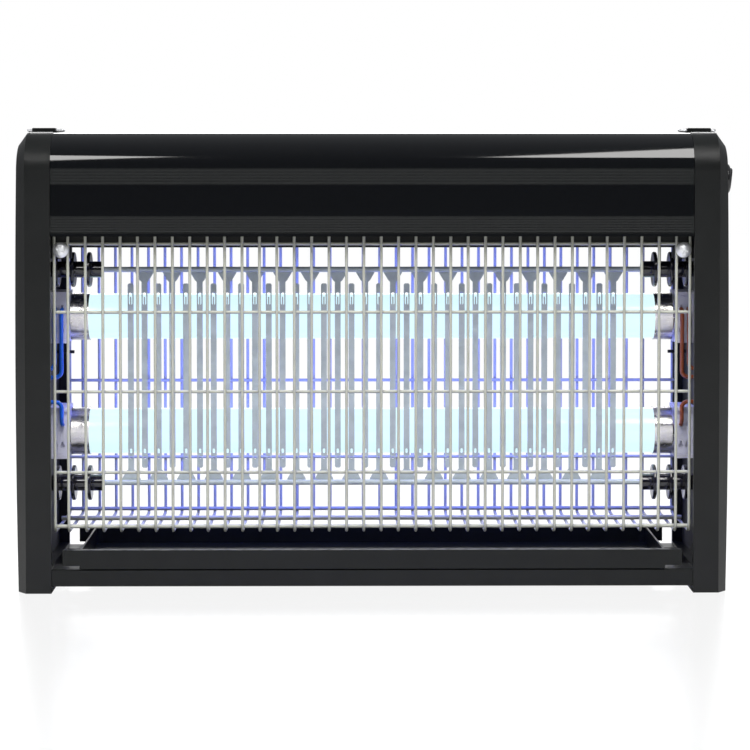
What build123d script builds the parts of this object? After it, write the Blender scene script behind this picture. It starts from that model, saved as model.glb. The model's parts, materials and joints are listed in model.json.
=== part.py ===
from build123d import *
import math
import os

# Electric bug zapper: two lamps behind a high-voltage grid, inside a wire guard.
# X runs along the lamps, the front faces -Y, Z is up. Millimetres.

# ---- Driving dimensions ----------------------------------------------------
# Frame
CAP_LIP_X = 171.5
PANEL_X = 177.0
PANEL_BACK_X = 179.0
CAP_INNER_X = 188.0
CAP_OUTER_X = 191.2
CAP_BOW = 1.4
CAP_SCREW_SEAT_X = 188.8
CAP_SCREW_HEAD = 1.0
CAP_HALF_DEPTH = 44.0
CAP_TOP_Z = 246.4
CAP_FACET_X = 185.0
CAP_FACET_INSET = 8.5
CAP_FOOT_TOP_Z = 14.0
HOUSING_HALF_DEPTH = 43.0
HOUSING_TOP_Z = 246.0
HOUSING_SKIRT_Z = 190.7
SHOULDER_R = 19.4
SHEET = 1.8
RIB_PITCH = 1.35
RIB_GROOVE_WIDTH = 0.5
RIB_GROOVE_DEPTH = 0.6
LOWER_RIBS_Z = (192.8, 201.2)
UPPER_RIBS_Z = (218.6, 226.6)
PLATE_Z = 184.5
PLATE_HALF_DEPTH = 32.5
PLATE_SHEET = 1.2
PLATE_WALL_TOP_Z = 203.0
BAR_Z = (3.6, 12.8)
BAR_DEPTH = 17.0
CAP_SCREW_Y = 28.0
CAP_SCREW_TOP_Z = 230.0
CAP_SCREW_LOW_Z = 8.2
SCREW_R = 1.7

# Guard
GUARD_Y = 35.5
GUARD_BOTTOM_Z = 32.0
GUARD_TOP_Z = 196.0
WIRE_R = 0.8
BEND_R = 4.0
INNER_WIRES = 36
WIRE_PITCH = 9.31
END_WIRE_X = 170.2
RAIL_R = 0.85
RAIL_HEIGHTS = (63.7, 107.1, 149.8, 186.5)
CORNER_RAIL_R = 1.05
FLOOR_RAIL_R = 1.25
WELD_GAP = 0.02
GUARD_SCREW_X = 166.6
GUARD_SCREW_Z = 183.2
GUARD_SCREW_R = 1.25
GUARD_SCREW_HEAD_R = 4.1
GUARD_SCREW_HEAD_H = 2.6
GUARD_SCREW_DOME_R = 5.8

# High-voltage grid
GRID_ROD_R = 1.45
GRID_ROD_Y = -17.0
UPPER_ROD_Z = 172.0
LOWER_ROD_Z = 56.0
INSULATOR_INNER_X = 146.0
INSULATOR_R = 4.4
DISC_R = 9.45
DISC_WIDTH = 2.0
DISC_XS = (153.3, 162.0, 170.5)
BAR_COUNT = 36
BAR_PITCH = 7.5
BAR_WIDTH = 3.2
BAR_THICK = 1.0
HEAD_WIDTH = 10.0
NECK_WIDTH = 5.2
HUNG_TIP_Z = 63.8
STANDING_TIP_Z = 164.3

# Lamps and holders
LAMP_Y = 2.0
LAMP_ZS = {"upper": 145.4, "lower": 82.2}
LAMP_CAP_FACE_X = 165.8
LAMP_CAP_LENGTH = 11.0
LAMP_CAP_R = 13.0
GLASS_R = 12.5
GLASS_WALL = 0.9
PIN_R = 1.18
PIN_SPACING = 12.7
PIN_LENGTH = 7.0
HOLDER_FACE_X = 166.2
HOLDER_HALF_HEIGHT = 14.0
HOLDER_HALF_DEPTH = 12.0
HOLDER_FLANGE = 2.0
HOLDER_FLANGE_REACH = 1.4
KEYHOLE_XS = (169.1, 172.8)
KEYHOLE_DZS = (4.5, -7.0)
KEYHOLE_DEPTH = 2.2
ROTOR_POCKET_R = 9.6
ROTOR_CLEARANCE = 0.05
LEAD_R = 1.1
LEAD_EXIT_Y = -13.5
LEAD_EXIT_ZS = (113.0, 117.5, 99.5)

# Tray
TRAY_Z = (13.1, 23.2)
TRAY_HALF_WIDTH = 156.5
TRAY_FASCIA_HALF_WIDTH = 165.5
TRAY_FRONT_Y = -43.5
TRAY_REAR_Y = 40.0
TRAY_SHEET = 1.0
TRAY_CORNER_R = 5.0
TRAY_LIP = 4.0
TRAY_FASCIA_RISE = 1.7

# Switch, hanging rings, cable inlet
SWITCH_Z = 221.0
BEZEL_R = 8.25
BEZEL_BORE_R = 7.0
BEZEL_FACE_X = 196.6
ROCKER_R = 6.4
ROCKER_FACE_X = 197.8
ROCKER_PIVOT_X = 194.0
ROCKER_TIP_X = 198.05
ROCKER_EDGE_R = 1.6
SWITCH_BODY_FRONT_X = 189.6
ROCKER_TILT = 6.0
TRUNNION_R = 0.9
RING_WIRE_R = 0.8
RING_X = 178.6
RING_Z = 247.5
RING_HALF_WIDTH = 9.3
RING_LEG = 4.0
RING_BAR_Y = -2.0
SADDLE_XS = (172.6, 185.6)
SADDLE_YS = (-5.5, 1.5)
SADDLE_ROOF = 0.45
RUNNING_FIT = 0.05
REAR_PEG_R = 0.9
INLET_X = 150.0
INLET_Z = 212.0
INLET_R = 3.2
STARTER_XS = (-157.5, -40.5)

# The origin is the bottom centre of the whole zapper, the side switch included.
FRAME_SHIFT_X = -(ROCKER_TIP_X - CAP_OUTER_X) / 2

SIDES = {"left": -1, "right": 1}


# ---- Small helpers ---------------------------------------------------------
def block(xs, ys, zs):
    centre = Pos(sum(xs) / 2, sum(ys) / 2, sum(zs) / 2)
    return centre * Box(abs(xs[1] - xs[0]), abs(ys[1] - ys[0]), abs(zs[1] - zs[0]))


def rod_x(xs, y, z, radius):
    return Pos(sum(xs) / 2, y, z) * Rot(0, 90, 0) * Cylinder(radius, abs(xs[1] - xs[0]))


def rod_y(x, ys, z, radius):
    return Pos(x, sum(ys) / 2, z) * Rot(90, 0, 0) * Cylinder(radius, abs(ys[1] - ys[0]))


def rod_z(x, y, zs, radius):
    return Pos(x, y, sum(zs) / 2) * Cylinder(radius, abs(zs[1] - zs[0]))


def wire_along(points, radii, radius):
    """A round wire whose centre line is straight runs joined by tangent arcs."""
    path = FilletPolyline(*points, radius=radii)
    return sweep(Plane(path @ 0, z_dir=path % 0) * Circle(radius), path=path)


def on_side(part, side):
    """A part drawn for the right end, or its mirror image for the left end."""
    return part if side == "right" else mirror(part, about=Plane.YZ)


def save(name, *solids):
    shifted = [Pos(FRAME_SHIFT_X, 0, 0) * solid for part in solids for solid in part.solids()]
    export_step(Compound(children=shifted), f"parts/{name}.step")


# ---- End caps --------------------------------------------------------------
def arched_outline(half_depth, bottom_z, top_z, shoulder_r):
    """Upright rectangle in YZ whose two top corners are rounded."""
    height = top_z - bottom_z
    sheet = Plane.YZ * Pos(0, (top_z + bottom_z) / 2) * Rectangle(2 * half_depth, height)
    top_corners = sheet.vertices().sort_by(Axis.Z)[-2:]
    return fillet(top_corners, shoulder_r)


def arched_prism(xs, half_depth, bottom_z, top_z, shoulder_r):
    face = arched_outline(half_depth, bottom_z, top_z, shoulder_r)
    return Pos(xs[0], 0, 0) * extrude(face, xs[1] - xs[0], dir=(1, 0, 0))


def cap_outer_shape():
    """An arched body, a facet that runs round its outer edge, and a bowed outer face."""
    shoulder_r = SHOULDER_R + 1
    inset = CAP_FACET_INSET
    body = arched_prism((CAP_LIP_X, CAP_FACET_X), CAP_HALF_DEPTH, 0, CAP_TOP_Z, shoulder_r)
    wide = arched_outline(CAP_HALF_DEPTH, 0, CAP_TOP_Z, shoulder_r)
    narrow = arched_outline(CAP_HALF_DEPTH - inset, 0, CAP_TOP_Z - inset, shoulder_r - inset)
    body += loft([Pos(CAP_FACET_X, 0, 0) * wide, Pos(CAP_OUTER_X, 0, 0) * narrow])
    return body & bowed_side()


def bowed_side():
    """All that lies inside the gently bowed outer face, seen from the front."""
    edge_x = CAP_OUTER_X - CAP_BOW
    bow = ThreePointArc((edge_x, 0), (CAP_OUTER_X, CAP_TOP_Z / 2), (edge_x, CAP_TOP_Z))
    rest = Polyline((edge_x, CAP_TOP_Z), (CAP_LIP_X, CAP_TOP_Z), (CAP_LIP_X, 0), (edge_x, 0))
    return extrude(make_face(Plane.XZ * (bow + rest)), CAP_HALF_DEPTH, both=True)


def end_cap():
    body = cap_outer_shape()
    body -= arched_prism((CAP_LIP_X, PANEL_BACK_X), 41.2, CAP_FOOT_TOP_Z, 243.8, 17.6)
    body -= arched_prism((PANEL_BACK_X, CAP_INNER_X), 34.0, CAP_FOOT_TOP_Z + 3, 238.0, 12.0)
    for y in (-CAP_SCREW_Y, CAP_SCREW_Y):
        body += rod_x((CAP_LIP_X, CAP_INNER_X + 0.5), y, CAP_SCREW_TOP_Z, 4.2)
        for z in (CAP_SCREW_TOP_Z, CAP_SCREW_LOW_Z):
            body -= rod_x((CAP_LIP_X, CAP_OUTER_X), y, z, SCREW_R + RUNNING_FIT)
            body -= rod_x((CAP_SCREW_SEAT_X, CAP_OUTER_X), y, z, 3.9)
    return body


def cap_screw(y, z):
    face_x = CAP_SCREW_SEAT_X + CAP_SCREW_HEAD
    screw = rod_x((CAP_SCREW_SEAT_X, face_x), y, z, 3.4)
    screw += rod_x((CAP_LIP_X - 9, CAP_SCREW_SEAT_X), y, z, SCREW_R)
    for turn in (0, 90):
        screw -= Pos(face_x, y, z) * Rot(turn, 0, 0) * Box(1.2, 4.8, 0.9)
    return screw


def cap_screws():
    heights = (CAP_SCREW_TOP_Z, CAP_SCREW_LOW_Z)
    return [cap_screw(y, z) for y in (-CAP_SCREW_Y, CAP_SCREW_Y) for z in heights]


def inner_panel():
    panel = block((PANEL_X, PANEL_BACK_X), (-41.2, 41.2), (CAP_FOOT_TOP_Z, PLATE_Z))
    for z in LEAD_EXIT_ZS:
        panel -= rod_x((PANEL_X, PANEL_BACK_X), LEAD_EXIT_Y, z, LEAD_R + 0.3)
    return panel


# ---- Housing and base ------------------------------------------------------
def rib_grooves(sheet, band, side):
    """Cut the fine grooves that leave one band of ribs along the housing's face."""
    count = int((band[1] - band[0]) / RIB_PITCH)
    for index in range(count + 1):
        z = band[0] + index * (band[1] - band[0]) / count
        groove = Rectangle(2 * RIB_GROOVE_DEPTH, RIB_GROOVE_WIDTH)
        sheet -= Plane.YZ * Pos(side * HOUSING_HALF_DEPTH, z) * groove
    return sheet


def screw_port(side):
    web = Pos(side * 34.5, CAP_SCREW_TOP_Z) * Rectangle(14, 1.4)
    ring = Pos(side * CAP_SCREW_Y, CAP_SCREW_TOP_Z) * Circle(3.4)
    bore = Pos(side * CAP_SCREW_Y, CAP_SCREW_TOP_Z) * Circle(SCREW_R)
    return Plane.YZ * (web + ring - bore)


def top_housing():
    length = 2 * CAP_LIP_X
    sheet = arched_outline(HOUSING_HALF_DEPTH, HOUSING_SKIRT_Z, HOUSING_TOP_Z, SHOULDER_R)
    inner_half = HOUSING_HALF_DEPTH - SHEET
    inner_top = HOUSING_TOP_Z - SHEET
    sheet -= arched_outline(inner_half, HOUSING_SKIRT_Z, inner_top, SHOULDER_R - SHEET)
    for side in (-1, 1):
        for band in (LOWER_RIBS_Z, UPPER_RIBS_Z):
            sheet = rib_grooves(sheet, band, side)
        sheet += screw_port(side)
    body = Pos(-CAP_LIP_X, 0, 0) * extrude(sheet, length, dir=(1, 0, 0))
    return body - rod_y(INLET_X, (30, 50), INLET_Z, INLET_R + 1.8)


def housing_bottom_plate():
    wall = PLATE_SHEET
    half = PLATE_HALF_DEPTH
    xs = (-PANEL_BACK_X + 0.2, PANEL_BACK_X - 0.2)
    channel = block(xs, (-half, half), (PLATE_Z, PLATE_WALL_TOP_Z))
    hollow = block(xs, (-half + wall, half - wall), (PLATE_Z + wall, PLATE_WALL_TOP_Z))
    flanges = []
    for side in (-1, 1):
        ys = sorted((side * half, side * (HOUSING_HALF_DEPTH - SHEET)))
        zs = (PLATE_WALL_TOP_Z - wall, PLATE_WALL_TOP_Z)
        flanges.append(block((-CAP_LIP_X, CAP_LIP_X), ys, zs))
    return channel - hollow + flanges[0] + flanges[1]


def base_bar(side):
    ys = sorted((side * HOUSING_HALF_DEPTH, side * (HOUSING_HALF_DEPTH - BAR_DEPTH)))
    bar = block((-CAP_LIP_X, CAP_LIP_X), ys, BAR_Z)
    bar = chamfer(bar.edges().filter_by(Axis.X), 0.6)
    hollow = block((-CAP_LIP_X, CAP_LIP_X), (ys[0] + 1.5, ys[1] - 1.5), (BAR_Z[0] + 1.5, BAR_Z[1] - 1.5))
    port = rod_x((-CAP_LIP_X, CAP_LIP_X), side * CAP_SCREW_Y, CAP_SCREW_LOW_Z, 3.4)
    bore = rod_x((-CAP_LIP_X, CAP_LIP_X), side * CAP_SCREW_Y, CAP_SCREW_LOW_Z, SCREW_R)
    return bar - hollow + (port & bar) - bore


# ---- Guard -----------------------------------------------------------------
def guard_wire_xs():
    first = -WIRE_PITCH * (INNER_WIRES - 1) / 2
    inner = [first + index * WIRE_PITCH for index in range(INNER_WIRES)]
    return [-END_WIRE_X] + inner + [END_WIRE_X]


def guard_wires():
    points = [
        (0, -GUARD_Y, GUARD_TOP_Z),
        (0, -GUARD_Y, GUARD_BOTTOM_Z),
        (0, GUARD_Y, GUARD_BOTTOM_Z),
        (0, GUARD_Y, GUARD_TOP_Z),
    ]
    wire = wire_along(points, BEND_R, WIRE_R)
    return [Pos(x, 0, 0) * wire for x in guard_wire_xs()]


def guard_rails():
    xs = (-END_WIRE_X - WIRE_R, END_WIRE_X + WIRE_R)
    rails = []
    for side in (-1, 1):
        y = side * (GUARD_Y - WIRE_R - RAIL_R - WELD_GAP)
        rails += [rod_x(xs, y, z, RAIL_R) for z in RAIL_HEIGHTS]
        inset = (BEND_R - WIRE_R - CORNER_RAIL_R - WELD_GAP) * math.sqrt(0.5)
        corner_y = side * (GUARD_Y - BEND_R + inset)
        rails.append(rod_x(xs, corner_y, GUARD_BOTTOM_Z + BEND_R - inset, CORNER_RAIL_R))
    middle_z = GUARD_BOTTOM_Z + WIRE_R + FLOOR_RAIL_R + WELD_GAP
    rails.append(rod_x(xs, 0, middle_z, FLOOR_RAIL_R))
    return rails


def guard_screw(x):
    face_y = -GUARD_Y - WIRE_R
    front_y = face_y - GUARD_SCREW_HEAD_H
    head = rod_y(x, (front_y - 1, face_y), GUARD_SCREW_Z, GUARD_SCREW_HEAD_R)
    head = head & Pos(x, front_y + GUARD_SCREW_DOME_R, GUARD_SCREW_Z) * Sphere(GUARD_SCREW_DOME_R)
    screw = head + rod_y(x, (face_y, -28.0), GUARD_SCREW_Z, GUARD_SCREW_R)
    for turn in (20, 110):
        screw -= Pos(x, front_y + 0.4, GUARD_SCREW_Z) * Rot(0, turn, 0) * Box(4.8, 2.6, 0.9)
    return screw


def guard_screw_boss():
    boss = block((161.5, PANEL_X), (-32.6, -26.8), (178.6, PLATE_Z))
    return boss - rod_y(GUARD_SCREW_X, (-32.6, -28.0), GUARD_SCREW_Z, GUARD_SCREW_R)


# ---- High-voltage grid -----------------------------------------------------
def grid_rod(z):
    reach = INSULATOR_INNER_X + 5.5
    return rod_x((-reach, reach), GRID_ROD_Y, z, GRID_ROD_R)


def insulator(z):
    body = rod_x((INSULATOR_INNER_X, PANEL_X), GRID_ROD_Y, z, INSULATOR_R)
    for x in DISC_XS:
        disc = rod_x((x - DISC_WIDTH / 2, x + DISC_WIDTH / 2), GRID_ROD_Y, z, DISC_R)
        body += fillet(disc.edges(), 0.7)
    return body - rod_x((INSULATOR_INNER_X, INSULATOR_INNER_X + 6), GRID_ROD_Y, z, GRID_ROD_R)


def grid_bar(rod_height, tip):
    """One stamped bar: a wide head welded behind its rod, a straight strip and a blunt tip."""
    up = 1 if rod_height > tip else -1
    half, corner = BAR_WIDTH / 2, 0.7
    right = [
        (HEAD_WIDTH / 2, rod_height),
        (HEAD_WIDTH / 2, rod_height - up * 1.8),
        (NECK_WIDTH / 2, rod_height - up * 5.9),
        (half, rod_height - up * 6.9),
        (half, tip + up * corner),
        (half - corner, tip),
    ]
    left = [(-x, z) for x, z in reversed(right)]
    sheet = make_face(Polyline(*right, *left, close=True))
    sheet -= Pos(0, 156.0) * Rot(0, 0, 90) * SlotOverall(6.8, 1.9)
    sheet += Pos(0, 154.5) * Rectangle(0.7, 5.0)
    sheet -= Pos(0, 73.0) * Rot(0, 0, 90) * SlotOverall(2.6, 1.3)
    sheet -= Pos(0, 69.4) * Circle(0.8)
    back_y = GRID_ROD_Y + GRID_ROD_R + WELD_GAP + BAR_THICK
    return Pos(0, back_y, 0) * Rot(90, 0, 0) * extrude(sheet, BAR_THICK)


def grid_bars(hung):
    first = -BAR_PITCH * (BAR_COUNT - 1) / 2
    bar = grid_bar(UPPER_ROD_Z, HUNG_TIP_Z) if hung else grid_bar(LOWER_ROD_Z, STANDING_TIP_Z)
    return [Pos(first + i * BAR_PITCH, 0, 0) * bar for i in range(int(hung), BAR_COUNT, 2)]


# ---- Lamps -----------------------------------------------------------------
def lamp_glass(z):
    reach = LAMP_CAP_FACE_X - LAMP_CAP_LENGTH
    tube = rod_x((-reach, reach), LAMP_Y, z, GLASS_R)
    return tube - rod_x((-reach, reach), LAMP_Y, z, GLASS_R - GLASS_WALL)


def lamp_end_caps(z):
    cap = rod_x((LAMP_CAP_FACE_X - LAMP_CAP_LENGTH, LAMP_CAP_FACE_X), LAMP_Y, z, LAMP_CAP_R)
    cap = fillet(cap.faces().sort_by(Axis.X)[-1].edges(), 1.2)
    for side in (-1, 1):
        y = LAMP_Y + side * PIN_SPACING / 2
        cap -= rod_x((LAMP_CAP_FACE_X - 3, LAMP_CAP_FACE_X), y, z, PIN_R)
    return [cap, mirror(cap, about=Plane.YZ)]


def lamp_pins(z):
    pins = []
    for side in (-1, 1):
        y = LAMP_Y + side * PIN_SPACING / 2
        pin = rod_x((LAMP_CAP_FACE_X - 3, LAMP_CAP_FACE_X + PIN_LENGTH), y, z, PIN_R)
        pins += [pin, mirror(pin, about=Plane.YZ)]
    return pins


def lamp_holder(z):
    ys = (LAMP_Y - HOLDER_HALF_DEPTH, LAMP_Y + HOLDER_HALF_DEPTH)
    flange_ys = (ys[0] - HOLDER_FLANGE_REACH, ys[1] + HOLDER_FLANGE_REACH)
    body = block((HOLDER_FACE_X, PANEL_X), ys, (z - HOLDER_HALF_HEIGHT, z + HOLDER_HALF_HEIGHT))
    body = fillet(body.edges().filter_by(Axis.X), 3.0)
    for way in (-1, 1):
        edge_z = z + way * HOLDER_HALF_HEIGHT
        body += block((HOLDER_FACE_X, PANEL_X), flange_ys, sorted((edge_z, edge_z - way * HOLDER_FLANGE)))
    body -= rod_x((HOLDER_FACE_X, HOLDER_FACE_X + 7.4), LAMP_Y, z, ROTOR_POCKET_R)
    hole_ys = (ys[0], ys[0] + KEYHOLE_DEPTH)
    for dz in KEYHOLE_DZS:
        for x in KEYHOLE_XS:
            body -= rod_y(x, hole_ys, z + dz, LEAD_R + 0.1)
            body -= block((x - 0.5, x + 0.5), hole_ys, (z + dz, z + dz + 2.4))
    return body


def lamp_rotor(z):
    xs = (HOLDER_FACE_X + 0.3, HOLDER_FACE_X + 7.0)
    rotor = rod_x(xs, LAMP_Y, z, ROTOR_POCKET_R - ROTOR_CLEARANCE)
    for side in (-1, 1):
        rotor -= rod_x(xs, LAMP_Y + side * PIN_SPACING / 2, z, PIN_R)
    return [rotor, mirror(rotor, about=Plane.YZ)]


def lead(x, start_z, end_z):
    """One lamp lead: out of a keyhole, past the holder's front, and into the inner panel."""
    holder_y = LAMP_Y - HOLDER_HALF_DEPTH
    points = [
        (x, holder_y + 1.8, start_z),
        (x, LEAD_EXIT_Y - 0.6, start_z),
        (x, LEAD_EXIT_Y, end_z),
        (PANEL_X + 1, LEAD_EXIT_Y, end_z),
    ]
    return wire_along(points, (3.8, 3.5), LEAD_R)


def lamp_leads():
    upper_z = LAMP_ZS["upper"] + KEYHOLE_DZS[0]
    lower_z = LAMP_ZS["lower"] + KEYHOLE_DZS[0]
    starts = [(KEYHOLE_XS[0], upper_z), (KEYHOLE_XS[1], upper_z), (KEYHOLE_XS[0], lower_z)]
    return [lead(x, start_z, end_z) for (x, start_z), end_z in zip(starts, LEAD_EXIT_ZS)]


def rear_peg():
    return rod_x((167.0, PANEL_X), 30.0, 123.5, REAR_PEG_R)


# ---- Tray ------------------------------------------------------------------
def rear_rounded_block(xs, ys, zs, radius):
    body = block(xs, ys, zs)
    return fillet(body.edges().filter_by(Axis.Z).sort_by(Axis.Y)[-2:], radius)


def catch_tray():
    """A folded pan with rounded rear corners; its front and rear sheets run past the ends."""
    low, high = TRAY_Z
    half, t = TRAY_HALF_WIDTH, TRAY_SHEET
    front, rear = TRAY_FRONT_Y, TRAY_REAR_Y
    wide_xs = (-TRAY_FASCIA_HALF_WIDTH, TRAY_FASCIA_HALF_WIDTH)
    tray = rear_rounded_block((-half, half), (front, rear), (low, high), TRAY_CORNER_R)
    inner_xs, inner_ys = (t - half, half - t), (front + t, rear - t)
    tray -= rear_rounded_block(inner_xs, inner_ys, (low + t, high), TRAY_CORNER_R - t)
    for ys in ((front, front + t), (rear - t, rear)):
        tray += block(wide_xs, ys, (low + TRAY_FASCIA_RISE, high))
    return tray + block(wide_xs, (front, front + TRAY_LIP), (high - t, high))


# ---- Switch ----------------------------------------------------------------
def switch_bezel():
    ring = rod_x((CAP_INNER_X, BEZEL_FACE_X), 0, SWITCH_Z, BEZEL_R)
    ring = fillet(ring.faces().sort_by(Axis.X)[-1].edges(), 1.6)
    ring -= rod_x((CAP_INNER_X, BEZEL_FACE_X), 0, SWITCH_Z, BEZEL_BORE_R)
    ring -= cap_outer_shape()
    return ring - rod_y(ROCKER_PIVOT_X, (-BEZEL_R, BEZEL_R), SWITCH_Z, TRUNNION_R + RUNNING_FIT)


def switch_rocker():
    """A round button with a dished face and a trunnion that turns in the bezel."""
    button = rod_x((CAP_OUTER_X - 0.3, ROCKER_FACE_X), 0, SWITCH_Z, ROCKER_R)
    button = fillet(button.faces().sort_by(Axis.X)[-1].edges(), ROCKER_EDGE_R)
    button -= rod_y(ROCKER_FACE_X + 34.2, (-10, 10), SWITCH_Z, 35.0)
    trunnion = rod_y(ROCKER_PIVOT_X, (-BEZEL_R + 0.3, BEZEL_R - 0.3), SWITCH_Z, TRUNNION_R)
    turn = Pos(ROCKER_PIVOT_X, 0, SWITCH_Z) * Rot(0, ROCKER_TILT, 0)
    return turn * Pos(-ROCKER_PIVOT_X, 0, -SWITCH_Z) * (button + trunnion)


def switch_body():
    return rod_x((CAP_OUTER_X - 16, SWITCH_BODY_FRONT_X), 0, SWITCH_Z, BEZEL_BORE_R - 0.3)


# ---- Hanging rings ---------------------------------------------------------
def hanging_ring():
    """A D ring lying backwards: a hinge bar along X, two legs and a half-round loop."""
    leg_ys = (RING_BAR_Y, RING_BAR_Y + RING_LEG)
    bar_xs = (RING_X - RING_HALF_WIDTH, RING_X + RING_HALF_WIDTH)
    ring = rod_x(bar_xs, RING_BAR_Y, RING_Z, RING_WIRE_R)
    for x in bar_xs:
        ring += Pos(x, RING_BAR_Y, RING_Z) * Sphere(RING_WIRE_R)
        ring += rod_y(x, leg_ys, RING_Z, RING_WIRE_R)
    loop = Pos(RING_X, leg_ys[1], RING_Z) * Torus(RING_HALF_WIDTH, RING_WIRE_R)
    front_half = block((RING_X - 20, RING_X + 20), (leg_ys[1] - 20, leg_ys[1]), (RING_Z - 5, RING_Z + 5))
    return ring + (loop - front_half)


def ring_saddle():
    top = RING_Z + RING_WIRE_R + RUNNING_FIT + SADDLE_ROOF
    saddle = block(SADDLE_XS, SADDLE_YS, (CAP_TOP_Z - 2, top))
    saddle = chamfer(saddle.faces().sort_by(Axis.Z)[-1].edges(), 0.4)
    saddle -= cap_outer_shape()
    return saddle - rod_x(SADDLE_XS, RING_BAR_Y, RING_Z, RING_WIRE_R + RUNNING_FIT)


# ---- Electrics inside the housing ------------------------------------------
def ballast(x):
    floor = PLATE_Z + PLATE_SHEET
    core = block((x - 36, x + 36), (-14, 14), (floor + 1, floor + 29))
    core = chamfer(core.edges().filter_by(Axis.X), 2.0)
    return core + block((x - 44, x + 44), (-13, 13), (floor, floor + 1.2))


def starter(x):
    floor = PLATE_Z + PLATE_SHEET
    can = rod_z(x, 0, (floor + 6, floor + 40), 10.7)
    return fillet(can.faces().sort_by(Axis.Z)[-1].edges(), 2.0)


def starter_socket(x):
    floor = PLATE_Z + PLATE_SHEET
    return rod_z(x, 0, (floor, floor + 6), 12.5)


def hv_transformer():
    floor = PLATE_Z + PLATE_SHEET
    core = block((64, 100), (-17, 17), (floor, floor + 34))
    coil = block((69, 95), (-24, 24), (floor + 6, floor + 28))
    return core + coil


def hv_board():
    floor = PLATE_Z + PLATE_SHEET
    board = block((103, 137), (-22, 22), (floor + 4, floor + 5.6))
    for x in (107, 133):
        for y in (-18, 18):
            board += rod_z(x, y, (floor, floor + 4.1), 2.2)
    return board


def hv_capacitors():
    floor = PLATE_Z + PLATE_SHEET + 5.6
    return [rod_z(x, y, (floor, floor + 16), 5.0) for x in (112, 128) for y in (-10, 10)]


def terminal_block():
    floor = PLATE_Z + PLATE_SHEET
    body = block((142, 166), (-9, 9), (floor, floor + 13))
    for x in (147, 154, 161):
        body -= rod_y(x, (-9, 9), floor + 5, 1.8)
        body -= rod_z(x, 0, (floor + 8, floor + 13), 2.0)
    return body


def cable_inlet_bush():
    wall = (HOUSING_HALF_DEPTH - SHEET, HOUSING_HALF_DEPTH)
    bush = rod_y(INLET_X, (wall[0] - 2, wall[1] + 2), INLET_Z, INLET_R + 1.8)
    bush += rod_y(INLET_X, (wall[1], wall[1] + 1), INLET_Z, INLET_R + 3.6)
    bush += rod_y(INLET_X, (wall[0] - 2, wall[0]), INLET_Z, INLET_R + 3.0)
    return bush - rod_y(INLET_X, (wall[0] - 2, wall[1] + 2), INLET_Z, INLET_R)


# ---- The assembly ----------------------------------------------------------
def save_frame():
    for side in SIDES:
        save(f"{side}_end_cap", on_side(cap_for(side), side))
        save(f"{side}_cap_screws", *[on_side(screw, side) for screw in cap_screws()])
        save(f"{side}_inner_panel", on_side(inner_panel(), side))
        save(f"{side}_ring_saddle", on_side(ring_saddle(), side))
        save(f"{side}_hanging_ring", on_side(hanging_ring(), side))
        save(f"{side}_rear_peg", on_side(rear_peg(), side))
    save("top_housing", top_housing())
    save("housing_bottom_plate", housing_bottom_plate())
    save("front_base_bar", base_bar(-1))
    save("rear_base_bar", base_bar(1))


def cap_for(side):
    """The right cap also has the round hole that the switch body passes through."""
    cap = end_cap()
    if side == "right":
        cap -= rod_x((CAP_INNER_X - 4, CAP_OUTER_X), 0, SWITCH_Z, BEZEL_BORE_R)
    return cap


def save_guard():
    save("guard_wires", *guard_wires())
    save("guard_rails", *guard_rails())
    save("guard_screws", guard_screw(-GUARD_SCREW_X), guard_screw(GUARD_SCREW_X))
    save("guard_screw_bosses", *[on_side(guard_screw_boss(), side) for side in SIDES])


def save_grid():
    for level, z in (("upper", UPPER_ROD_Z), ("lower", LOWER_ROD_Z)):
        save(f"{level}_grid_rod", grid_rod(z))
        for side in SIDES:
            save(f"{level}_{side}_insulator", on_side(insulator(z), side))
    save("hung_grid_bars", *grid_bars(True))
    save("standing_grid_bars", *grid_bars(False))


def save_lamps():
    for level, z in LAMP_ZS.items():
        save(f"{level}_lamp_glass", lamp_glass(z))
        save(f"{level}_lamp_end_caps", *lamp_end_caps(z))
        save(f"{level}_lamp_pins", *lamp_pins(z))
        save(f"{level}_holder_rotors", *lamp_rotor(z))
        for side in SIDES:
            save(f"{level}_{side}_lampholder", on_side(lamp_holder(z), side))
    save("left_blue_leads", *[on_side(wire, "left") for wire in lamp_leads()])
    save("right_brown_leads", *lamp_leads())


def save_switch_and_tray():
    save("catch_tray", catch_tray())
    save("switch_bezel", switch_bezel())
    save("switch_rocker", switch_rocker())
    save("switch_body", switch_body())


def save_electrics():
    save("left_ballast", ballast(-99))
    save("right_ballast", ballast(18))
    save("starters", *[starter(x) for x in STARTER_XS])
    save("starter_sockets", *[starter_socket(x) for x in STARTER_XS])
    save("hv_transformer", hv_transformer())
    save("hv_board", hv_board())
    save("hv_capacitors", *hv_capacitors())
    save("terminal_block", terminal_block())
    save("cable_inlet_bush", cable_inlet_bush())


os.makedirs("parts", exist_ok=True)
save_frame()
save_guard()
save_grid()
save_lamps()
save_switch_and_tray()
save_electrics()
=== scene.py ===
import json
import math

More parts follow.
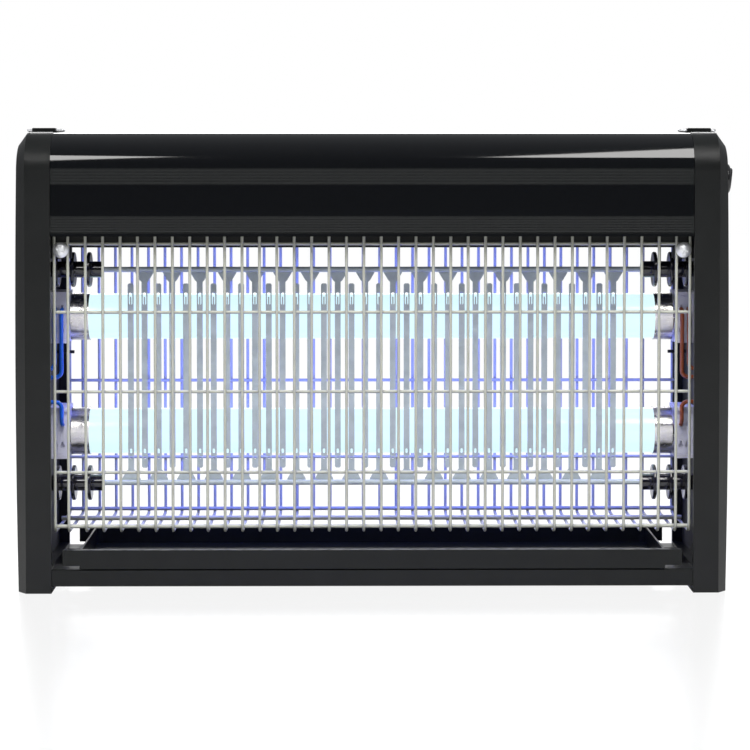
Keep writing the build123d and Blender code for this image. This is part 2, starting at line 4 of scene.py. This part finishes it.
import bpy
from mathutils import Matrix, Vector


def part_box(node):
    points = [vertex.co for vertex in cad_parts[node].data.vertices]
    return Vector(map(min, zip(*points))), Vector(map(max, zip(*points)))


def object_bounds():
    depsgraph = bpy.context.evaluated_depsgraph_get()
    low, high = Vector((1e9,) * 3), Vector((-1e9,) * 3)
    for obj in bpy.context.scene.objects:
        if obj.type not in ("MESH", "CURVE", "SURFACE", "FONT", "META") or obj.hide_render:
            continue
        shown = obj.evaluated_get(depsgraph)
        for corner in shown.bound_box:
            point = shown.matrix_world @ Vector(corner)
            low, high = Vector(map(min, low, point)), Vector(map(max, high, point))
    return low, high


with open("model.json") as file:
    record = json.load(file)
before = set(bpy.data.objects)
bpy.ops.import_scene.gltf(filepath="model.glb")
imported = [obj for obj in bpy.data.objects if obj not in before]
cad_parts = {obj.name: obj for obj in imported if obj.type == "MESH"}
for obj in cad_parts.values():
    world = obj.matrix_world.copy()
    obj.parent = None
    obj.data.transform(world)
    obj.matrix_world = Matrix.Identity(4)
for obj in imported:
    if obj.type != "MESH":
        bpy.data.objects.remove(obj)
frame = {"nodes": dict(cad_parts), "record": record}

CAD_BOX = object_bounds()

# ---- Places from the frame, in metres --------------------------------------
TOP_Z = CAD_BOX[1][2]
CENTRE_X = (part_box("left_end_cap")[0][0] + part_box("right_end_cap")[1][0]) / 2
GUARD_FRONT_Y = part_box("guard_wires")[0][1]

# ---- Camera: distances in metres, angles in degrees ------------------------
CAMERA_SETBACK = 1.300
CAMERA_OFFSET_X = -0.0123
CAMERA_HEIGHT = 0.2336
CAMERA_LENS = 116.75
CAMERA_YAW = -0.60
CAMERA_PITCH = 2.0
CAMERA_SHIFT_Y = -0.179

# ---- Colours and levels of light -------------------------------------------
BLACK = (0.0026, 0.0030, 0.0036)
# Paler base colour of the ribbed bands: a painted sheen for the light the fine ribs catch.
RIB_SHEEN_GREY = (0.0110, 0.0122, 0.0122)
RIB_BANDS = ((0.1924, 0.2016), (0.2182, 0.2270))
CHARCOAL = (0.0050, 0.0055, 0.0055)
PANEL_BLACK = (0.0060, 0.0060, 0.0070)
COATING = (0.0048, 0.0054, 0.0050)
WIRE_COAT = (0.330, 0.335, 0.290)
ZINC = (0.80, 0.81, 0.83)
GRID_GREY = (0.34, 0.385, 0.405)
INSULATOR = (0.0060, 0.0055, 0.0075)
LAMP_TINT = (0.71, 0.95, 1.0)
CAP_METAL = (0.78, 0.76, 0.74)
HOLDER_WHITE = (0.56, 0.56, 0.66)
LEAD_BLUE = (0.008, 0.10, 0.52)
LEAD_BROWN = (0.23, 0.055, 0.02)
FILL_FRONT = 0.05
FILL_BACK = 0.30
FLOOR_GLOSS = 0.40
SHOULDER_DROP = 0.017
STREAK_DISTANCE = 2.0
STREAK_REACH = 0.50
STREAK_STRENGTH = 11.0
GLOW_BLUE = (0.10, 0.13, 1.0)


# ---- Material helpers ------------------------------------------------------
class Shader:
    """A Principled material and the few procedural layers that the finishes here share."""

    def __init__(self, name, **sockets):
        self.material = bpy.data.materials.new(name)
        self.material.use_nodes = True
        self.tree = self.material.node_tree
        self.bsdf = self.tree.nodes["Principled BSDF"]
        for key, value in sockets.items():
            self.bsdf.inputs[key.replace("_", " ")].default_value = value

    def node(self, kind, **values):
        made = self.tree.nodes.new(kind)
        for key, value in values.items():
            made.inputs[key.replace("_", " ")].default_value = value
        return made

    def link(self, source, target):
        self.tree.links.new(source, target)

    def position(self, stretch=(1, 1, 1)):
        """Object coordinates in metres, stretched where a finish has a direction."""
        coords = self.tree.nodes.new("ShaderNodeTexCoord")
        mapping = self.node("ShaderNodeMapping", Scale=stretch)
        self.link(coords.outputs["Object"], mapping.inputs["Vector"])
        return mapping.outputs["Vector"]

    def noise(self, scale, detail=3.0, stretch=(1, 1, 1)):
        made = self.node("ShaderNodeTexNoise", Scale=scale, Detail=detail)
        self.link(self.position(stretch), made.inputs["Vector"])
        return made.outputs["Fac"]

    def vary_colour(self, factor, dark, light):
        ramp = self.tree.nodes.new("ShaderNodeValToRGB")
        ramp.color_ramp.elements[0].position = 0.35
        ramp.color_ramp.elements[1].position = 0.65
        ramp.color_ramp.elements[0].color = (*dark, 1)
        ramp.color_ramp.elements[1].color = (*light, 1)
        self.link(factor, ramp.inputs["Fac"])
        self.link(ramp.outputs["Color"], self.bsdf.inputs["Base Color"])

    def vary_roughness(self, factor, low, high):
        spread = self.node("ShaderNodeMapRange", To_Min=low, To_Max=high)
        self.link(factor, spread.inputs["Value"])
        self.link(spread.outputs["Result"], self.bsdf.inputs["Roughness"])

    def height_bands(self, bands):
        """One inside either band of height, nought elsewhere."""
        split = self.tree.nodes.new("ShaderNodeSeparateXYZ")
        self.link(self.position(), split.inputs["Vector"])
        total = self.tree.nodes.new("ShaderNodeMath")
        for index, (low, high) in enumerate(bands):
            inside = self.tree.nodes.new("ShaderNodeMath")
            inside.operation = "COMPARE"
            inside.inputs[1].default_value = (low + high) / 2
            inside.inputs[2].default_value = (high - low) / 2
            self.link(split.outputs["Z"], inside.inputs[0])
            self.link(inside.outputs["Value"], total.inputs[index])
        return total.outputs["Value"]

    def bump(self, factor, height, strength=1.0):
        made = self.node("ShaderNodeBump", Strength=strength, Distance=height)
        self.link(factor, made.inputs["Height"])
        self.link(made.outputs["Normal"], self.bsdf.inputs["Normal"])


def scaled(colour, factor):
    return tuple(channel * factor for channel in colour)


def mottled(shader, colour, spread, scale):
    """Base colour that drifts a little lighter and darker over the surface."""
    shader.vary_colour(shader.noise(scale), scaled(colour, 1 - spread), scaled(colour, 1 + spread))


# ---- The finishes ----------------------------------------------------------
def moulded_plastic():
    shader = Shader("moulded_plastic", Specular_IOR_Level=0.36)
    mottled(shader, CHARCOAL, 0.12, 60)
    grain = shader.noise(2600, 2.0)
    shader.vary_roughness(grain, 0.26, 0.38)
    shader.bump(grain, 0.00012, 0.5)
    return shader.material


def panel_plastic():
    shader = Shader("panel_plastic", Roughness=0.55)
    mottled(shader, PANEL_BLACK, 0.2, 80)
    shader.bump(shader.noise(1800, 2.0), 0.0001, 0.4)
    return shader.material


def housing_lacquer():
    """High gloss, with two bands of fine ribs that are duller, and painted paler as a painted sheen for the
    light the ribs catch.
    """
    shader = Shader("housing_lacquer")
    bands = shader.height_bands(RIB_BANDS)
    # Inside the bands the base colour is painted paler, a painted sheen for the light the ribs catch; the
    # extra roughness is real.
    shader.vary_colour(bands, BLACK, RIB_SHEEN_GREY)
    shader.vary_roughness(bands, 0.06, 0.24)
    shader.bump(shader.noise(300, 1.0), 0.00001, 0.15)
    return shader.material


def powder_coat():
    shader = Shader("powder_coat", Specular_IOR_Level=0.30)
    mottled(shader, COATING, 0.12, 70)
    peel = shader.noise(900, 2.0)
    shader.vary_roughness(peel, 0.28, 0.40)
    shader.bump(peel, 0.00008, 0.4)
    return shader.material


def guard_coating():
    shader = Shader("guard_coating", Roughness=0.38, Coat_Weight=0.1)
    mottled(shader, WIRE_COAT, 0.05, 120)
    shader.bump(shader.noise(700, 1.0), 0.00005, 0.3)
    return shader.material


def zinc_plate():
    shader = Shader("zinc_plate", Metallic=0.8)
    mottled(shader, ZINC, 0.03, 500)
    shader.vary_roughness(shader.noise(700), 0.36, 0.44)
    return shader.material


def grid_steel():
    shader = Shader("grid_steel", Metallic=0.1)
    mottled(shader, GRID_GREY, 0.08, 150)
    shader.vary_roughness(shader.noise(400, 3.0, (1, 1, 0.1)), 0.30, 0.45)
    return shader.material


def insulator_gloss():
    shader = Shader("insulator_gloss", Coat_Weight=0.6, Coat_Roughness=0.05)
    mottled(shader, INSULATOR, 0.15, 90)
    shader.vary_roughness(shader.noise(200), 0.12, 0.22)
    return shader.material


def lit_glass():
    """A burning tube: the phosphor glows pale cyan, a touch dimmer in random patches."""
    shader = Shader("lit_glass", Roughness=0.2, Emission_Strength=1.06)
    shader.bsdf.inputs["Base Color"].default_value = (0.04, 0.05, 0.05, 1)
    drift = shader.noise(25, 1.0)
    ramp = shader.tree.nodes.new("ShaderNodeValToRGB")
    ramp.color_ramp.elements[0].color = (*scaled(LAMP_TINT, 0.93), 1)
    ramp.color_ramp.elements[1].color = (*LAMP_TINT, 1)
    shader.link(drift, ramp.inputs["Fac"])
    shader.link(ramp.outputs["Color"], shader.bsdf.inputs["Emission Color"])
    return shader.material


def lamp_cap_metal():
    shader = Shader("lamp_cap_metal", Metallic=1.0)
    mottled(shader, CAP_METAL, 0.03, 200)
    shader.vary_roughness(shader.noise(900, 2.0), 0.24, 0.29)
    return shader.material


def pin_brass():
    shader = Shader("pin_brass", Metallic=1.0)
    mottled(shader, (0.80, 0.64, 0.34), 0.08, 300)
    shader.vary_roughness(shader.noise(400), 0.2, 0.35)
    return shader.material


def holder_plastic():
    shader = Shader("holder_plastic", Roughness=0.3)
    mottled(shader, HOLDER_WHITE, 0.06, 150)
    shader.bump(shader.noise(900, 1.0), 0.00004, 0.3)
    return shader.material


def lead_sleeve(name, colour):
    shader = Shader(name, Roughness=0.35, Coat_Weight=0.2)
    mottled(shader, colour, 0.12, 300)
    return shader.material


def switch_gloss():
    shader = Shader("switch_gloss", Coat_Weight=0.4, Coat_Roughness=0.08)
    mottled(shader, (0.010, 0.010, 0.011), 0.15, 200)
    shader.vary_roughness(shader.noise(300), 0.22, 0.32)
    return shader.material


def painted_core(name, colour):
    shader = Shader(name, Roughness=0.45)
    mottled(shader, colour, 0.1, 120)
    shader.bump(shader.noise(600, 1.0), 0.00006, 0.3)
    return shader.material


def make_finishes():
    """One material for each of the record's slots."""
    return {
        "cap_plastic": moulded_plastic(),
        "panel_plastic": panel_plastic(),
        "housing_lacquer": housing_lacquer(),
        "sheet_lacquer": powder_coat(),
        "guard_coat": guard_coating(),
        "zinc_screw": zinc_plate(),
        "grid_steel": grid_steel(),
        "insulator_black": insulator_gloss(),
        "lamp_glass": lit_glass(),
        "lamp_cap": lamp_cap_metal(),
        "pin_brass": pin_brass(),
        "holder_white": holder_plastic(),
        "lead_blue": lead_sleeve("lead_blue", LEAD_BLUE),
        "lead_brown": lead_sleeve("lead_brown", LEAD_BROWN),
        "switch_gloss": switch_gloss(),
        "ballast_steel": painted_core("ballast_steel", (0.30, 0.31, 0.32)),
        "board_green": painted_core("board_green", (0.03, 0.18, 0.07)),
        "capacitor_blue": painted_core("capacitor_blue", (0.02, 0.08, 0.32)),
    }


def finish_nodes(finishes):
    for entry in frame["record"]["subparts"]:
        node = frame["nodes"][entry["node"]]
        node.data.materials.clear()
        node.data.materials.append(finishes[entry["material_slot"]])


def soften_edges(node_name, width):
    """A small rolled edge, so that moulded and folded corners catch the light."""
    bevel = frame["nodes"][node_name].modifiers.new("edge", "BEVEL")
    bevel.width = width
    bevel.segments = 3
    bevel.limit_method = "ANGLE"
    bevel.angle_limit = math.radians(40)
    bevel.harden_normals = False


# ---- Light, floor and camera -----------------------------------------------
def area_light(name, place, aim, size, power, colour=(1, 1, 1)):
    data = bpy.data.lights.new(name, "AREA")
    data.shape = "RECTANGLE"
    data.size, data.size_y = size
    data.energy = power
    data.color = colour
    light = bpy.data.objects.new(name, data)
    light.location = place
    light.rotation_mode = "QUATERNION"
    light.rotation_quaternion = (Vector(aim) - Vector(place)).to_track_quat("-Z", "Y")
    light.visible_camera = False
    bpy.context.collection.objects.link(light)
    return light


def studio_lights():
    """A steep key and a weak frontal fill that the gloss doesn't mirror, and a low rear rim."""
    target = (CENTRE_X, GUARD_FRONT_Y, 0.12)
    key = area_light("key", (CENTRE_X, -1.0, 1.8), target, (1.8, 0.9), 75)
    fill = area_light("fill", (CENTRE_X, -2.4, 0.25), target, (1.6, 0.8), 9)
    for light in (key, fill):
        light.visible_glossy = False
    area_light("rim", (CENTRE_X, 2.0, 0.9), (CENTRE_X, 0, TOP_Z), (1.6, 0.4), 10)


def metal_highlight(slots):
    """A front strip that lights the bright metal alone and gives it its clear middle band."""
    bright = bpy.data.collections.new("bright_metal")
    for entry in frame["record"]["subparts"]:
        if entry["material_slot"] in slots:
            bright.objects.link(frame["nodes"][entry["node"]])
    place = (CENTRE_X, -1.9, 0.30)
    strip = area_light("metal_strip", place, (CENTRE_X, GUARD_FRONT_Y, 0.12), (1.6, 1.3), 8)
    strip.light_linking.receiver_collection = bright


def softbox(name, corners):
    """A glowing panel that the curved shoulder of the housing mirrors as a tapering streak."""
    mesh = bpy.data.meshes.new(name)
    mesh.from_pydata(corners, [], [tuple(range(len(corners)))])
    panel = bpy.data.objects.new(name, mesh)
    bpy.context.collection.objects.link(panel)
    shader = Shader(name, Emission_Strength=STREAK_STRENGTH)
    shader.bsdf.inputs["Base Color"].default_value = (0, 0, 0, 1)
    shader.bsdf.inputs["Emission Color"].default_value = (1.0, 0.99, 0.97, 1)
    mesh.materials.append(shader.material)
    panel.visible_camera = False


def from_shoulder(x, elevation):
    """The point that lies at this elevation, seen from the housing's shoulder."""
    rise = math.radians(elevation)
    shoulder_z = TOP_Z - SHOULDER_DROP
    return (x, GUARD_FRONT_Y - STREAK_DISTANCE * math.cos(rise), shoulder_z + STREAK_DISTANCE * math.sin(rise))


def streak_panels():
    """Each wedge: side, distance of its tip, elevation of its tip, elevations of its base."""
    wedges = (("left", -1, 0.25, 39, (21, 46)), ("right", 1, 0.17, 37, (36, 75)))
    for name, side, inner, tip_angle, base_angles in wedges:
        tip = from_shoulder(CENTRE_X + side * inner, tip_angle)
        base = [from_shoulder(CENTRE_X + side * STREAK_REACH, angle) for angle in base_angles]
        softbox(f"streak_{name}", [tip, *base])


def lamp_glow():
    """Blue light that the burning tubes throw on the guard, the tray and the housing."""
    for level in ("upper", "lower"):
        low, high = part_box(f"{level}_lamp_glass")
        centre = Vector((low + high) / 2)
        reach = (high[2] - low[2]) / 2 + 0.0012
        length = high[0] - low[0]
        for way in ((0, 0, 1), (0, 0, -1), (0, 1, 0), (0, -1, 0)):
            place = centre + Vector(way) * reach
            light = area_light(f"glow_{level}", place, place + Vector(way), (length, 0.012), 0.2, GLOW_BLUE)
            light.visible_glossy = False


def world_light():
    world = bpy.data.worlds.new("studio")
    bpy.context.scene.world = world
    world.use_nodes = True
    tree = world.node_tree
    seen = tree.nodes["Background"]
    seen.inputs["Color"].default_value = (1, 1, 1, 1)
    seen.inputs["Strength"].default_value = 1.0
    fill = tree.nodes.new("ShaderNodeBackground")
    fill.inputs["Color"].default_value = (0.95, 0.97, 1.0, 1)
    direction = tree.nodes.new("ShaderNodeTexCoord")
    split = tree.nodes.new("ShaderNodeSeparateXYZ")
    ramp = tree.nodes.new("ShaderNodeMapRange")
    limits = {"From Min": -0.9, "From Max": 0.1, "To Min": FILL_FRONT, "To Max": FILL_BACK}
    for key, value in limits.items():
        ramp.inputs[key].default_value = value
    tree.links.new(direction.outputs["Generated"], split.inputs["Vector"])
    tree.links.new(split.outputs["Y"], ramp.inputs["Value"])
    tree.links.new(ramp.outputs["Result"], fill.inputs["Strength"])
    ray = tree.nodes.new("ShaderNodeLightPath")
    mix = tree.nodes.new("ShaderNodeMixShader")
    tree.links.new(ray.outputs["Is Camera Ray"], mix.inputs["Fac"])
    tree.links.new(fill.outputs["Background"], mix.inputs[1])
    tree.links.new(seen.outputs["Background"], mix.inputs[2])
    tree.links.new(mix.outputs["Shader"], tree.nodes["World Output"].inputs["Surface"])


def floor():
    """A white floor as bright as the backdrop, with a faint reflection of the object."""
    bpy.ops.mesh.primitive_plane_add(size=12, location=(0, 0, 0))
    plane = bpy.context.object
    plane.name = "floor"
    shader = Shader("floor_white", Roughness=0.6)
    shader.bsdf.inputs["Base Color"].default_value = (0.5, 0.5, 0.5, 1)
    gloss = shader.node("ShaderNodeBsdfGlossy", Roughness=0.22, Color=(1, 1, 1, 1))
    glow = shader.node("ShaderNodeEmission", Strength=1.01 * (1 - FLOOR_GLOSS * FILL_BACK) / (1 - FLOOR_GLOSS))
    seen = shader.node("ShaderNodeMixShader", Fac=FLOOR_GLOSS)
    shader.link(glow.outputs["Emission"], seen.inputs[1])
    shader.link(gloss.outputs["BSDF"], seen.inputs[2])
    ray = shader.tree.nodes.new("ShaderNodeLightPath")
    choice = shader.tree.nodes.new("ShaderNodeMixShader")
    shader.link(ray.outputs["Is Camera Ray"], choice.inputs["Fac"])
    shader.link(shader.bsdf.outputs["BSDF"], choice.inputs[1])
    shader.link(seen.outputs["Shader"], choice.inputs[2])
    shader.link(choice.outputs["Shader"], shader.tree.nodes["Material Output"].inputs["Surface"])
    plane.data.materials.append(shader.material)


def camera():
    data = bpy.data.cameras.new("camera")
    data.lens = CAMERA_LENS
    data.sensor_width = 36
    data.shift_y = CAMERA_SHIFT_Y
    data.clip_end = 50
    data.dof.use_dof = False
    eye = bpy.data.objects.new("camera", data)
    eye.location = (CENTRE_X + CAMERA_OFFSET_X, GUARD_FRONT_Y - CAMERA_SETBACK, CAMERA_HEIGHT)
    eye.rotation_euler = (math.radians(90 - CAMERA_PITCH), 0, math.radians(CAMERA_YAW))
    bpy.context.collection.objects.link(eye)
    bpy.context.scene.camera = eye


bpy.context.scene.view_settings.view_transform = "Standard"
finish_nodes(make_finishes())
for name in ("left_end_cap", "right_end_cap", "catch_tray"):
    soften_edges(name, 0.0004)
studio_lights()
metal_highlight(("lamp_cap", "zinc_screw"))
streak_panels()
lamp_glow()
world_light()
floor()
camera()
